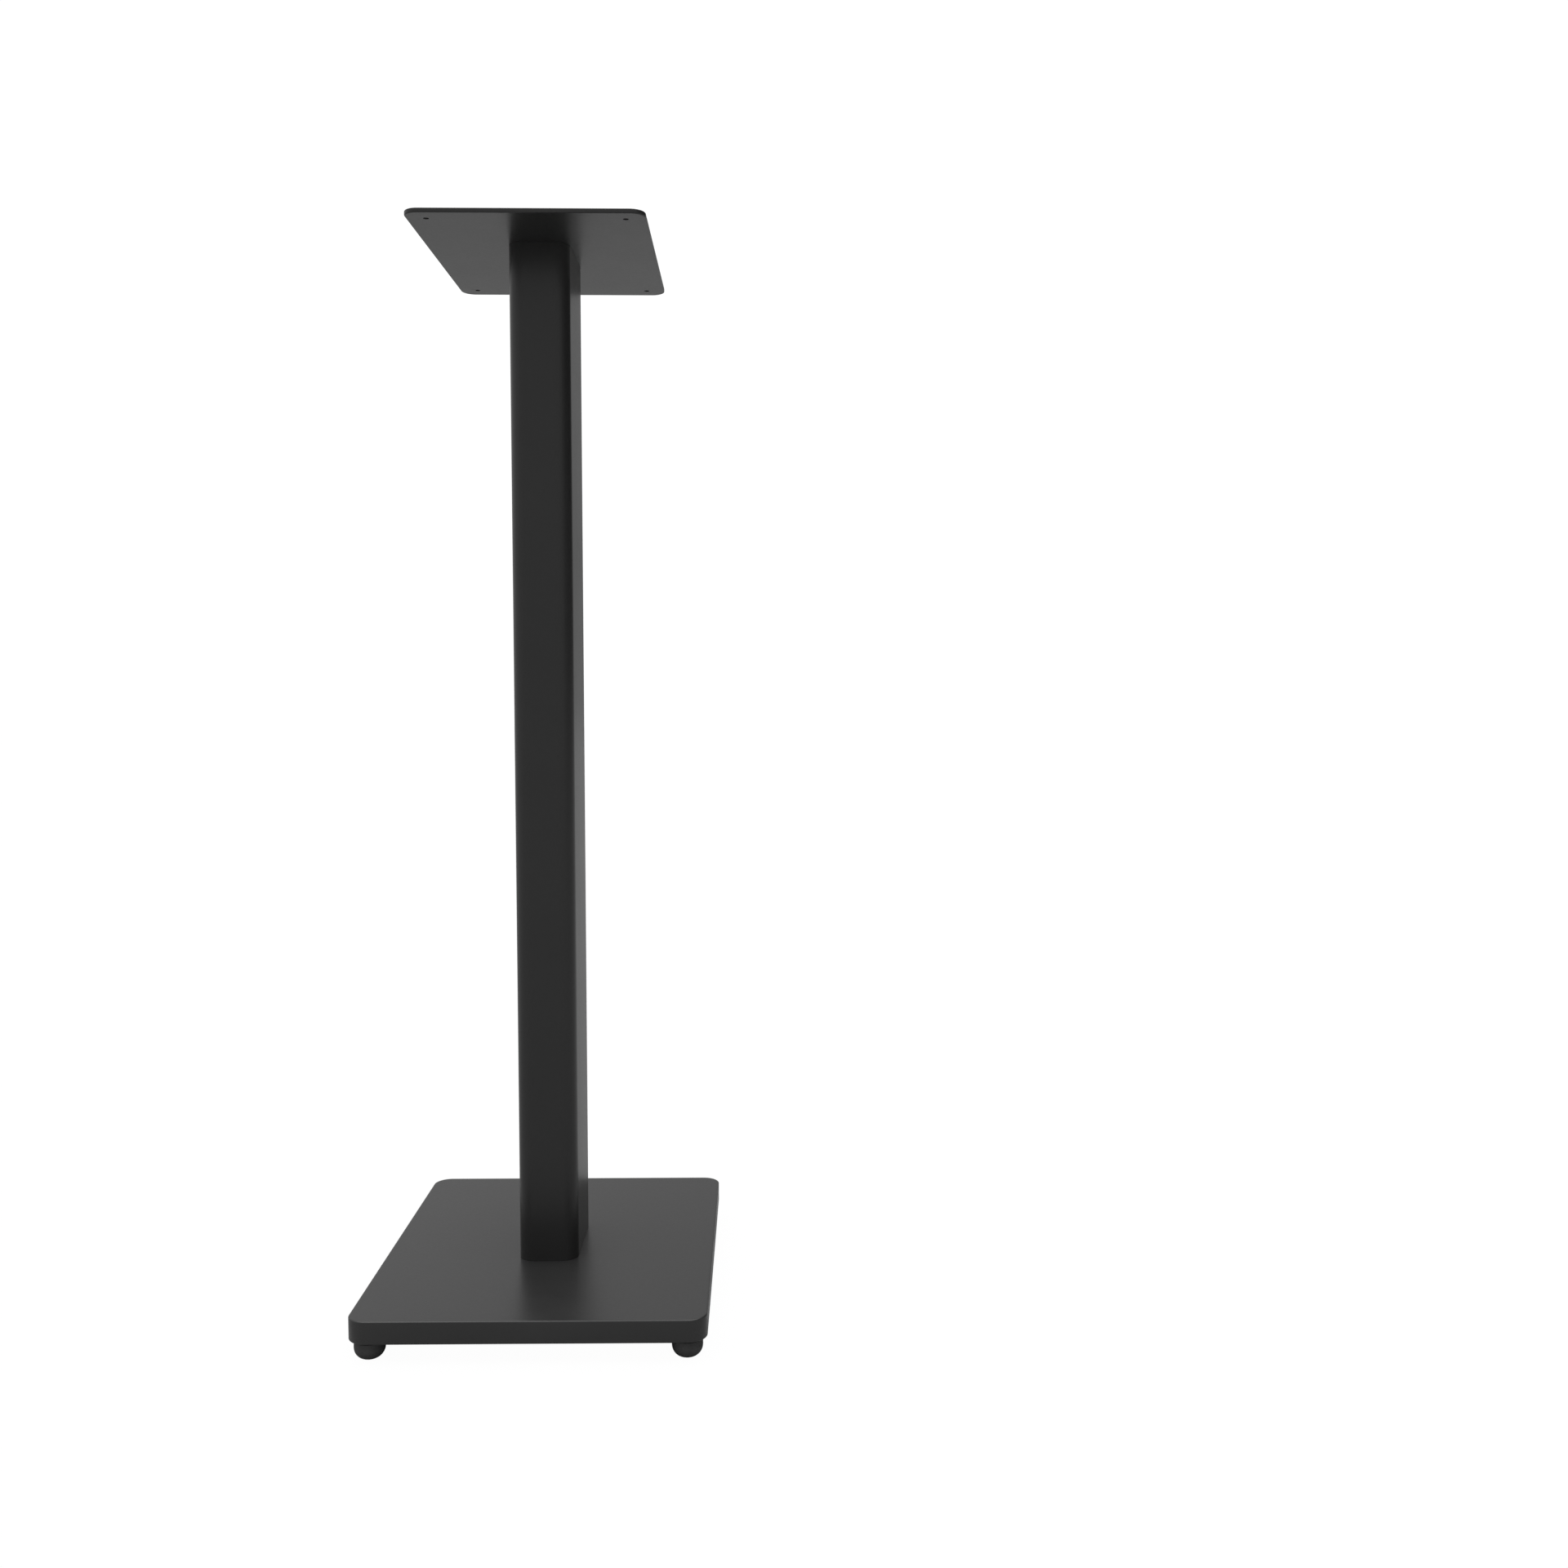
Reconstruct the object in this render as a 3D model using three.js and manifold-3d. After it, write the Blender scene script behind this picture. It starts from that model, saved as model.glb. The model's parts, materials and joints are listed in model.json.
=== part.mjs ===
// Floor-standing speaker stand: a hollow oblong column between a thin top plate and a thick base board
// on four screw-in levelling feet. Loudspeaker cable runs inside the column, between two rear slots.
// Millimetres, +Z up, the front is -Y. The origin is on the floor under the middle of the base.

import * as THREE from 'three';
import { mergeVertices } from 'three/addons/utils/BufferGeometryUtils.js';
import Module from 'manifold-3d';

const wasm = await Module();
wasm.setup();

// ---------- Driving dimensions ----------

// Base board
const baseWidth = 228.6;
const baseDepth = 279.4;
const baseThickness = 15;
const baseCornerRadius = 12.7;
const baseEdgeRadius = 0.8;

// Top plate
const topWidth = 152.4;
const topDepth = 202;
const topThickness = 3;
const topCornerRadius = 10;
const topEdgeRadius = 0.4;
const fixingHoleDiameter = 3.5;
const fixingHoleInset = 13;

// Column, a drawn tube, and the plates welded inside its ends
const columnWidth = 41;
const columnDepth = 79;
const columnLength = 695;
const columnCornerRadius = 11;
const columnWall = 2;
const endPlateThickness = 6;
const endPlateScrewInset = 8.5;

// Cable slots in the column's rear face, and their grommets
const slotWidth = 14;
const slotHeight = 34;
const slotFromColumnEnd = 60;
const grommetFlangeWidth = 2.2;
const grommetFlangeThickness = 1.6;
const grommetEdgeRadius = 0.4;
const grommetWall = 1.4;

// Countersunk screws of the top plate
const topScrewDiameter = 5;
const topScrewHeadDiameter = 10;
const topScrewHeadRim = 0.2;
const topScrewSunk = 0.2;
const topScrewTip = 2.4;
const topScrewSocketAcrossFlats = 3;
const topScrewSocketDepth = 1.8;

// Socket-head bolts of the base board, sunk into it from beneath
const baseBoltDiameter = 6;
const baseBoltHeadDiameter = 10;
const baseBoltHeadHeight = 6;
const baseBoltHeadEdge = 0.6;
const baseBoltTip = 2;
const baseBoltSocketAcrossFlats = 5;
const baseBoltSocketDepth = 3;
const washerDiameter = 14;
const washerThickness = 1.6;
const counterboreDepth = 8.5;

// Levelling feet: a rubber dome moulded round the head of a threaded stud
const footInset = 13;
const domeDiameter = 20;
const domeHeight = 12;
const domeFlatDiameter = 5;
const domeRimRadius = 0.6;
const studDiameter = 6;
const studLength = 11.5;
const collarDiameter = 12;
const collarHeight = 1.2;
const studNeckDiameter = 9;
const studNeckLength = 2;
const studHeadDiameter = 14;
const studHeadHeight = 2.4;

// Threaded insert for each stud
const insertDiameter = 9.4;
const insertLength = 12;
const insertFlangeDiameter = 13;
const insertFlangeThickness = 1.2;
const insertEndSpace = 0.6;

// Gap between pieces that are threaded, pressed or moulded together
const fitGap = 0.3;

// ---------- Derived sizes ----------

const columnInnerWidth = columnWidth - 2 * columnWall;
const columnInnerDepth = columnDepth - 2 * columnWall;
const columnInnerRadius = columnCornerRadius - columnWall;
const endPlateWidth = columnInnerWidth - 2 * fitGap;
const endPlateDepth = columnInnerDepth - 2 * fitGap;
const endPlateRadius = columnInnerRadius - fitGap;

// Heights of the main faces above the floor
const baseUnderside = domeHeight + collarHeight;
const baseTop = baseUnderside + baseThickness;
const columnTop = baseTop + columnLength;
const topFace = columnTop + topThickness;

// Screws pass through the end plates and show their tips behind them
const topScrewLength = topThickness - topScrewSunk + endPlateThickness + topScrewTip;
const boardUnderColumn = baseThickness - counterboreDepth;
const baseBoltLength = washerThickness + boardUnderColumn + endPlateThickness + baseBoltTip;
const counterboreRadius = Math.max(washerDiameter, baseBoltHeadDiameter) / 2 + fitGap;
const insertHoleDepth = insertLength + insertEndSpace;

// ---------- Resolution of round shapes ----------

// A round corner or slot end has two chords for each of these
const arcSegments = 6;
const edgeSegments = 2;
const smallRoundSegments = 20;
const footSegments = 28;
const domeArcSegments = 8;
const rimArcSegments = 2;

const quarterTurn = Math.PI / 2;

// How far a cutting tool runs past the face that it leaves through
const throughCut = 1;

// ---------- Materials ----------

const powderCoat = new THREE.MeshStandardMaterial({ color: 0x1d1d1e, roughness: 0.5, metalness: 0.1 });
const boardLacquer = new THREE.MeshStandardMaterial({ color: 0x1f1f20, roughness: 0.45, metalness: 0 });
const blackScrew = new THREE.MeshStandardMaterial({ color: 0x141414, roughness: 0.4, metalness: 0.8 });
const zincPlate = new THREE.MeshStandardMaterial({ color: 0xb4b5b6, roughness: 0.35, metalness: 1 });
const bareSteel = new THREE.MeshStandardMaterial({ color: 0x6d6e70, roughness: 0.5, metalness: 1 });
const rubber = new THREE.MeshStandardMaterial({ color: 0x161616, roughness: 0.75, metalness: 0 });

// ---------- Outlines and simple bodies ----------

function roundedRectangle(width, depth, radius) {
  const x = width / 2 - radius;
  const y = depth / 2 - radius;
  const shape = new THREE.Shape();
  shape.absarc(x, y, radius, 0, quarterTurn);
  shape.absarc(-x, y, radius, quarterTurn, 2 * quarterTurn);
  shape.absarc(-x, -y, radius, 2 * quarterTurn, 3 * quarterTurn);
  shape.absarc(x, -y, radius, 3 * quarterTurn, 4 * quarterTurn);
  return shape;
}

function oblong(width, height) {
  const radius = width / 2;
  const middle = height / 2 - radius;
  const shape = new THREE.Shape();
  shape.absarc(0, middle, radius, 0, 2 * quarterTurn);
  shape.absarc(0, -middle, radius, 2 * quarterTurn, 4 * quarterTurn);
  return shape;
}

function hexagon(acrossFlats) {
  const radius = acrossFlats / Math.sqrt(3);
  const points = [];
  for (let corner = 0; corner < 6; corner += 1) {
    const angle = (corner * Math.PI) / 3;
    points.push(new THREE.Vector2(radius * Math.cos(angle), radius * Math.sin(angle)));
  }
  return new THREE.Shape(points);
}

// A prism on the outline, standing on z = 0. Its upper and lower edges are rounded by edgeRadius.
function prism(outline, height, edgeRadius = 0) {
  const geometry = new THREE.ExtrudeGeometry(outline, {
    depth: height - 2 * edgeRadius,
    curveSegments: arcSegments,
    bevelEnabled: edgeRadius > 0,
    bevelSize: edgeRadius,
    bevelThickness: edgeRadius,
    bevelOffset: -edgeRadius,
    bevelSegments: edgeSegments,
  });
  return geometry.translate(0, 0, edgeRadius);
}

function rod(radius, height, z = 0) {
  const geometry = new THREE.CylinderGeometry(radius, radius, height, smallRoundSegments);
  return geometry.rotateX(quarterTurn).translate(0, 0, z + height / 2);
}

// A body turned about Z. The profile is a list of [radius, height] pairs, from the axis back to it.
function turned(profile, segments) {
  const points = profile.map(([radius, height]) => new THREE.Vector2(radius, height));
  return new THREE.LatheGeometry(points, segments).rotateX(quarterTurn);
}

// Points of a quarter circle from angle start, turning anticlockwise, as [radius, height] pairs
function quarterArc(centreRadius, centreHeight, radius, start, segments) {
  const points = [];
  for (let step = 0; step <= segments; step += 1) {
    const angle = start + (quarterTurn * step) / segments;
    points.push([centreRadius + radius * Math.cos(angle), centreHeight + radius * Math.sin(angle)]);
  }
  return points;
}

// ---------- Joining and cutting ----------

function toSolid(geometry) {
  const bare = geometry.clone();
  bare.deleteAttribute('normal');
  bare.deleteAttribute('uv');
  const merged = mergeVertices(bare);
  return new wasm.Manifold(new wasm.Mesh({
    numProp: 3,
    vertProperties: Float32Array.from(merged.getAttribute('position').array),
    triVerts: Uint32Array.from(merged.getIndex().array),
  }));
}

function toGeometry(solid) {
  const mesh = solid.getMesh();
  const geometry = new THREE.BufferGeometry();
  geometry.setAttribute('position', new THREE.BufferAttribute(mesh.vertProperties, 3));
  geometry.setIndex(new THREE.BufferAttribute(mesh.triVerts, 1));
  geometry.computeVertexNormals();
  return geometry;
}

function cut(body, tools) {
  return toGeometry(tools.reduce((solid, tool) => solid.subtract(toSolid(tool)), toSolid(body)));
}

function join(bodies) {
  return toGeometry(bodies.map(toSolid).reduce((whole, solid) => whole.add(solid)));
}

// The same tool at each of the places, which are [x, y] pairs
function repeated(tool, places) {
  return places.map(([x, y]) => tool.clone().translate(x, y, 0));
}

// ---------- Places that repeat ----------

// The four corners of a rectangle centred on the origin, with the names of its corners
function corners(halfWidth, halfDepth) {
  return [
    ['front_left', -halfWidth, -halfDepth],
    ['front_right', halfWidth, -halfDepth],
    ['rear_left', -halfWidth, halfDepth],
    ['rear_right', halfWidth, halfDepth],
  ];
}

const placesOf = (namedCorners) => namedCorners.map(([, x, y]) => [x, y]);

const screwCorners = corners(
  columnInnerWidth / 2 - endPlateScrewInset,
  columnInnerDepth / 2 - endPlateScrewInset,
);
const footCorners = corners(baseWidth / 2 - footInset, baseDepth / 2 - footInset);
const fixingCorners = corners(topWidth / 2 - fixingHoleInset, topDepth / 2 - fixingHoleInset);

const slotHeights = {
  upper: columnLength - slotFromColumnEnd,
  lower: slotFromColumnEnd,
};

// ---------- Top plate and its screws ----------

// The outline of a countersunk screw below the plate's upper face, grown by gap all round.
// Height 0 is the upper face. The cone is a right angle, so it is as high as it is wide.
function countersinkProfile(gap, top, bottom) {
  const shank = topScrewDiameter / 2 + gap;
  const head = topScrewHeadDiameter / 2 + gap;
  const rim = -topScrewSunk - topScrewHeadRim;
  return [
    [0, bottom],
    [shank, bottom],
    [shank, rim - (head - shank)],
    [head, rim],
    [head, top],
    [0, top],
  ];
}

function topPlate() {
  const plate = prism(roundedRectangle(topWidth, topDepth, topCornerRadius), topThickness, topEdgeRadius);
  const cutDepth = topThickness + throughCut;
  const countersink = turned(countersinkProfile(fitGap, throughCut, -cutDepth), smallRoundSegments);
  countersink.translate(0, 0, topThickness);
  const fixingHole = rod(fixingHoleDiameter / 2, topThickness + 2 * throughCut, -throughCut);
  return cut(plate, [
    ...repeated(countersink, placesOf(screwCorners)),
    ...repeated(fixingHole, placesOf(fixingCorners)),
  ]);
}

// Height 0 is the plate's upper face, and the head lies a little below it
function topScrew() {
  const bottom = -topScrewSunk - topScrewLength;
  const body = turned(countersinkProfile(0, -topScrewSunk, bottom), smallRoundSegments);
  const socket = prism(hexagon(topScrewSocketAcrossFlats), topScrewSocketDepth + throughCut);
  socket.translate(0, 0, -topScrewSunk - topScrewSocketDepth);
  return cut(body, [socket]);
}

// ---------- Column ----------

function column() {
  const outline = roundedRectangle(columnWidth, columnDepth, columnCornerRadius);
  outline.holes.push(roundedRectangle(columnInnerWidth, columnInnerDepth, columnInnerRadius));
  const tube = prism(outline, columnLength);
  // The tool lies along Y and reaches from outside the rear wall to inside it
  const slot = prism(oblong(slotWidth, slotHeight), columnWall + 2 * throughCut).rotateX(quarterTurn);
  slot.translate(0, columnDepth / 2 + throughCut, 0);
  return cut(tube, Object.values(slotHeights).map((height) => slot.clone().translate(0, 0, height)));
}

function endPlate(holeDiameter) {
  const plate = prism(roundedRectangle(endPlateWidth, endPlateDepth, endPlateRadius), endPlateThickness);
  const hole = rod(holeDiameter / 2 + fitGap, endPlateThickness + 2 * throughCut, -throughCut);
  return cut(plate, repeated(hole, placesOf(screwCorners)));
}

// A grommet with a lip on each side of the wall. Its origin is the middle of the slot on the wall's
// outer face, and +Y points out of the column.
function cableGrommet() {
  const neckWidth = slotWidth - 2 * fitGap;
  const neckHeight = slotHeight - 2 * fitGap;
  const lipWidth = slotWidth + 2 * grommetFlangeWidth;
  const lipHeight = slotHeight + 2 * grommetFlangeWidth;
  const innerLipFace = -columnWall - fitGap;
  const innerLipEnd = innerLipFace - grommetFlangeThickness;
  const neckLength = grommetFlangeThickness - innerLipEnd;
  const outerLip = prism(oblong(lipWidth, lipHeight), grommetFlangeThickness, grommetEdgeRadius);
  const innerLip = prism(oblong(lipWidth, lipHeight), grommetFlangeThickness).translate(0, 0, innerLipEnd);
  const neck = prism(oblong(neckWidth, neckHeight), neckLength).translate(0, 0, innerLipEnd);
  const passage = prism(
    oblong(neckWidth - 2 * grommetWall, neckHeight - 2 * grommetWall),
    neckLength + 2 * throughCut,
  ).translate(0, 0, innerLipEnd - throughCut);
  return cut(join([outerLip, neck, innerLip]), [passage]).rotateX(-quarterTurn);
}

// ---------- Base board, its bolts and washers ----------

function baseBoard() {
  const board = prism(
    roundedRectangle(baseWidth, baseDepth, baseCornerRadius),
    baseThickness,
    baseEdgeRadius,
  );
  const boltHole = rod(baseBoltDiameter / 2 + fitGap, baseThickness + 2 * throughCut, -throughCut);
  const counterbore = rod(counterboreRadius, counterboreDepth + throughCut, -throughCut);
  const insertHole = rod(insertDiameter / 2 + fitGap, insertHoleDepth + throughCut, -throughCut);
  const flangeSeat = rod(
    insertFlangeDiameter / 2 + fitGap,
    insertFlangeThickness + throughCut,
    -throughCut,
  );
  return cut(board, [
    ...repeated(boltHole, placesOf(screwCorners)),
    ...repeated(counterbore, placesOf(screwCorners)),
    ...repeated(insertHole, placesOf(footCorners)),
    ...repeated(flangeSeat, placesOf(footCorners)),
  ]);
}

// The head hangs below height 0, which is the face that the washer presses on
function baseBolt() {
  const shank = baseBoltDiameter / 2;
  const head = baseBoltHeadDiameter / 2;
  const body = turned([
    [0, -baseBoltHeadHeight],
    [head - baseBoltHeadEdge, -baseBoltHeadHeight],
    [head, -baseBoltHeadHeight + baseBoltHeadEdge],
    [head, 0],
    [shank, 0],
    [shank, baseBoltLength],
    [0, baseBoltLength],
  ], smallRoundSegments);
  const socket = prism(hexagon(baseBoltSocketAcrossFlats), baseBoltSocketDepth + throughCut);
  socket.translate(0, 0, -baseBoltHeadHeight - throughCut);
  return cut(body, [socket]);
}

function washer() {
  const disc = rod(washerDiameter / 2, washerThickness);
  const hole = rod(baseBoltDiameter / 2 + fitGap, washerThickness + 2 * throughCut, -throughCut);
  return cut(disc, [hole]);
}

// ---------- Levelling feet ----------

// Height 0 is the board's underside, where the insert's flange lies flush
function footInsert() {
  const flange = rod(insertFlangeDiameter / 2, insertFlangeThickness);
  const sleeve = rod(insertDiameter / 2, insertLength);
  const bore = rod(studDiameter / 2 + fitGap, insertLength + 2 * throughCut, -throughCut);
  return cut(join([flange, sleeve]), [bore]);
}

// Height 0 is the collar's upper face, which stops the foot against the insert
function footStud() {
  const stud = studDiameter / 2;
  const collar = collarDiameter / 2;
  const neck = studNeckDiameter / 2;
  const head = studHeadDiameter / 2;
  const neckEnd = -collarHeight - studNeckLength;
  return turned([
    [0, neckEnd - studHeadHeight],
    [head, neckEnd - studHeadHeight],
    [head, neckEnd],
    [neck, neckEnd],
    [neck, -collarHeight],
    [collar, -collarHeight],
    [collar, 0],
    [stud, 0],
    [stud, studLength],
    [0, studLength],
  ], smallRoundSegments);
}

// Height 0 is the floor. The pocket for the stud's head opens upward round its neck.
function footDome() {
  const radius = domeDiameter / 2;
  const flat = domeFlatDiameter / 2;
  const roundness = radius - flat;
  const neck = studNeckDiameter / 2 + fitGap;
  const head = studHeadDiameter / 2 + fitGap;
  const pocketRoof = domeHeight - studNeckLength + fitGap;
  const pocketFloor = domeHeight - studNeckLength - studHeadHeight - fitGap;
  return turned([
    [0, 0],
    ...quarterArc(flat, roundness, roundness, -quarterTurn, domeArcSegments),
    ...quarterArc(radius - domeRimRadius, domeHeight - domeRimRadius, domeRimRadius, 0, rimArcSegments),
    [neck, domeHeight],
    [neck, pocketRoof],
    [head, pocketRoof],
    [head, pocketFloor],
    [0, pocketFloor],
  ], footSegments);
}

// ---------- Assembly ----------

const stand = new THREE.Group();

function place(name, geometry, material, x, y, z) {
  const mesh = new THREE.Mesh(geometry, material);
  mesh.name = name;
  mesh.position.set(x, y, z);
  stand.add(mesh);
}

place('base_plate', baseBoard(), boardLacquer, 0, 0, baseUnderside);
place('column', column(), powderCoat, 0, 0, baseTop);
place('lower_end_plate', endPlate(baseBoltDiameter), bareSteel, 0, 0, baseTop);
place('upper_end_plate', endPlate(topScrewDiameter), bareSteel, 0, 0, columnTop - endPlateThickness);
place('top_plate', topPlate(), powderCoat, 0, 0, columnTop);

for (const [level, height] of Object.entries(slotHeights)) {
  place(`cable_grommet_${level}`, cableGrommet(), rubber, 0, columnDepth / 2, baseTop + height);
}

for (const [corner, x, y] of screwCorners) {
  const washerSeat = baseUnderside + counterboreDepth;
  place(`top_screw_${corner}`, topScrew(), blackScrew, x, y, topFace);
  place(`base_washer_${corner}`, washer(), zincPlate, x, y, washerSeat - washerThickness);
  place(`base_bolt_${corner}`, baseBolt(), blackScrew, x, y, washerSeat - washerThickness);
}

for (const [corner, x, y] of footCorners) {
  place(`foot_insert_${corner}`, footInsert(), zincPlate, x, y, baseUnderside);
  place(`foot_stud_${corner}`, footStud(), zincPlate, x, y, baseUnderside);
  place(`foot_dome_${corner}`, footDome(), rubber, x, y, 0);
}

export default stand;
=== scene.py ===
"""Looks of a floor-standing speaker stand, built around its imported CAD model.

Metres, in the CAD frame: +Z is up, the front is -Y and the floor is z = 0. Every piece takes its place
and its outer size from the box of the CAD node that it stands for.
"""

import json
import math

import bmesh
import bpy
from mathutils import Matrix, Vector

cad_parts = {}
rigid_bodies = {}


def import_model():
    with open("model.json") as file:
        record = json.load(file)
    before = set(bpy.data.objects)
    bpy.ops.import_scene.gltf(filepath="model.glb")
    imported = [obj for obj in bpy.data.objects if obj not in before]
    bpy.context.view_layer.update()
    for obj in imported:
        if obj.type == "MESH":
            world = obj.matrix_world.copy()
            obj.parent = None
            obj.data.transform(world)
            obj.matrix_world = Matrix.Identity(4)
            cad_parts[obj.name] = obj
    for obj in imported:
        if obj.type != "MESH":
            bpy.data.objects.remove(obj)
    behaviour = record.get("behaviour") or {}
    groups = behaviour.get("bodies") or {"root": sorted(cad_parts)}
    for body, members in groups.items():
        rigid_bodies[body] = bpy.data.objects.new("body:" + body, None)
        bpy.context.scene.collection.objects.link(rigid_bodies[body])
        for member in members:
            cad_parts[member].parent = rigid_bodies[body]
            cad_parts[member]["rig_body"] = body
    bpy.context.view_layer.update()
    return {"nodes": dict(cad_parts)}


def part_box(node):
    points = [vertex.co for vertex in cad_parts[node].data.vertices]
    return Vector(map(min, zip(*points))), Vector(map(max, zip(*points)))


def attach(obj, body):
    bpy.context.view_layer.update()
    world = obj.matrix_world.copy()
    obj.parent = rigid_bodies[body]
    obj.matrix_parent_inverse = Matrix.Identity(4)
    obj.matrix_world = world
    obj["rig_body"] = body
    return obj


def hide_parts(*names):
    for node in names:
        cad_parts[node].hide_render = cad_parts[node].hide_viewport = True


MM = 0.001
QUARTER = math.pi / 2
TURN = 2 * math.pi

# The photograph's viewpoint, for a square frame. The camera looks along +Y, turned down and to the right
# by these angles in radians. The sensor's width and the focal length are in millimetres
CAMERA_PLACE = (0.14912, -1.07493, 0.42801)
CAMERA_DOWN = 0.06488
CAMERA_RIGHT = 0.01470
SENSOR_WIDTH = 36.0
LENS = 34.8755

# Board and panel
BOARD_CORNER = 12.7 * MM
BOARD_EDGE = 1 * MM
PANEL_CORNER = 10 * MM
PANEL_EDGE = 0.7 * MM
FIXING_HOLE_RADIUS = 1.75 * MM
FIXING_HOLE_INSET = 13 * MM

# Column
TUBE_CORNER = 11 * MM
TUBE_WALL = 2 * MM
TUBE_EDGE = 0.1 * MM

# Rubber grommets of the cable slots
LIP_OVERHANG = 2.2 * MM
GROMMET_WALL = 1.4 * MM
GROMMET_ROUND = 0.6 * MM

# Countersunk screws of the panel. A point is the end without thread, and its taper the loss of radius there
SUNK_RIM = 0.2 * MM
DECK_SCREW_RADIUS = 2.5 * MM
DECK_SCREW_PITCH = 0.8 * MM
DECK_SCREW_POINT = 0.5 * MM
DECK_SCREW_TAPER = 0.4 * MM
DECK_SCREW_RUNOUT = 0.1 * MM
DECK_SCREW_EDGE = 0.05 * MM
DECK_SOCKET_FLATS = 3 * MM
DECK_SOCKET_DEPTH = 1.8 * MM
COUNTERSINK_EDGE = 0.1 * MM

# Bolts of the board. The knurl keeps away from the head's two ends, which are chamfered
BOLT_RADIUS = 3 * MM
BOLT_PITCH = 1 * MM
BOLT_POINT = 0.8 * MM
BOLT_TAPER = 0.6 * MM
BOLT_RUNOUT = 0.4 * MM
BOLT_HEAD_HEIGHT = 6 * MM
BOLT_HEAD_CHAMFER = 0.6 * MM
BOLT_SOCKET_FLATS = 5 * MM
BOLT_SOCKET_DEPTH = 3 * MM
KNURL_MARGIN = 0.8 * MM
KNURL_DEPTH = 0.14 * MM
COUNTERBORE_DEPTH = 8.5 * MM

# Levelling feet
STUD_RADIUS = 3 * MM
STUD_PITCH = 1 * MM
STUD_POINT = 0.6 * MM
STUD_TAPER = 0.5 * MM
STUD_HEAD_HEIGHT = 2.4 * MM
STUD_NECK_RADIUS = 4.5 * MM
STUD_NECK_LENGTH = 2 * MM
COLLAR_RADIUS = 6 * MM
COLLAR_HEIGHT = 1.2 * MM
DOME_FLAT_RADIUS = 2.5 * MM
DOME_RIM = 0.6 * MM
MOULD_LINE = 0.06 * MM
MOULD_LINE_RISE = 0.3 * MM
INSERT_BARREL_RADIUS = 4.7 * MM
INSERT_FLANGE_HEIGHT = 1.2 * MM
INSERT_END_SPACE = 0.6 * MM
INSERT_RIDGES = 6
INSERT_RIDGE = 0.5 * MM

# Shares of a ridge's length at which its slope ends and at which it drops back
RIDGE_CREST = 0.5
RIDGE_DROP = 0.7

# Gap between fitted pieces, and the softened edges of small parts and holes
FIT_GAP = 0.3 * MM
BROKEN_EDGE = 0.2 * MM

# A thread's depth for each unit of its pitch, and the shares of a pitch at which its flank is at the
# crest, leaves the crest, and is at the root again
THREAD_DEPTH = 0.61
THREAD_CREST = 0.31
THREAD_CREST_END = 0.44
THREAD_ROOT = 0.75

# Chords in a quarter of a round corner, in a rounded edge, in a dome's belly, and round a turned piece
CORNER_STEPS = 20
EDGE_STEPS = 6
BELLY_STEPS = 24
ROUND_STEPS = 60
DOME_STEPS = 96

# How far a cutting tool runs past the face that it leaves through
PAST = 1 * MM

# Points closer than this are joined, and edges sharper than this many degrees are shaded sharp
JOIN_DISTANCE = 0.001 * MM
SHARP_FROM = 35

# The range of a noise over which a colour or a roughness changes
NOISE_LOW = 0.3
NOISE_HIGH = 0.7

# Greys of the two rubbers
FOOT_RUBBER_GREY = 0.045
GROMMET_RUBBER_GREY = 0.022

CORNERS = ("front_left", "front_right", "rear_left", "rear_right")

# Strength of the studio's walls, by degrees from the front towards the right
WALL_LIGHT = (
    (-180, 0.45),
    (-165, 0.58),
    (-145, 0.68),
    (-110, 0.70),
    (-70, 0.66),
    (-30, 0.58),
    (0, 0.59),
    (35, 0.58),
    (50, 0.52),
    (64, 0.26),
    (85, 0.12),
    (120, 0.06),
    (148, 0.06),
    (160, 0.44),
    (173, 0.41),
    (180, 0.45),
)

# The walls are dimmer at their foot. They are at their full strength at this sine of the height
WALL_FOOT = 0.76
WALL_RISE = 0.42

# The lit ceiling, with the sine of the height at which it starts and is at its full strength
CEILING_LIGHT = 2.8
CEILING_START = 0.78
CEILING_FULL = 0.86

# Floor and backdrop, both white to the camera
FLOOR_REACH = 15
FLOOR_PAINT = 0.37
FLOOR_FADE = 0.93
BACKDROP_WHITE = 1.05

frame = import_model()


# ---------- Meshes ----------

def rounded_outline(width, depth, radius, inset=0.0):
    """Points round a rectangle with round corners, anticlockwise, moved inwards by inset."""
    points = []
    for quarter, (side_x, side_y) in enumerate(((1, 1), (-1, 1), (-1, -1), (1, -1))):
        for step in range(CORNER_STEPS + 1):
            angle = QUARTER * (quarter + step / CORNER_STEPS)
            x = side_x * (width / 2 - radius) + (radius - inset) * math.cos(angle)
            y = side_y * (depth / 2 - radius) + (radius - inset) * math.sin(angle)
            points.append((x, y))
    return points


def add_strips(mesh, rings, closed=False):
    """Faces between rings of points, each ring to the next, and the last to the first if closed."""
    rows = [[mesh.verts.new(point) for point in ring] for ring in rings]
    pairs = list(zip(rows, rows[1:]))
    if closed:
        pairs.append((rows[-1], rows[0]))
    for lower, upper in pairs:
        for k in range(len(lower)):
            after = (k + 1) % len(lower)
            mesh.faces.new((lower[k], lower[after], upper[after], upper[k]))
    return rows


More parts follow.
